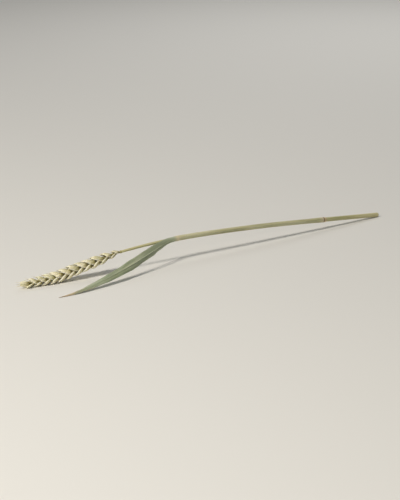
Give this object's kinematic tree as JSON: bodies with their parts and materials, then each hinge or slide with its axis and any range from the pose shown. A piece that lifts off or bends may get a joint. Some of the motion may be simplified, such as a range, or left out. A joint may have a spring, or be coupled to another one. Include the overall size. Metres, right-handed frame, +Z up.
{
  "type": "wheat ear",
  "caption": "Dried ear of wheat with short awns on its straw, lying as cut, with a sheathing flag leaf and its drooping blade",
  "frame": {"origin": "middle of the object's box, on the surface it lies on", "axes": "+Z up, +X along the stalk from the ear's tip to the straw's cut end, -Y the side that the leaf falls to"},
  "size_m": [0.3794, 0.0422, 0.0213],
  "materials": {
    "chaff": "dry, matt, cream",
    "straw": "smooth dry straw, satin",
    "leaf": "dry leaf, matt, grey-green"
  },
  "bodies": {
    "root": {"ear": "chaff", "straw": "straw", "flag_leaf": "leaf"}
  },
  "joints": []
}
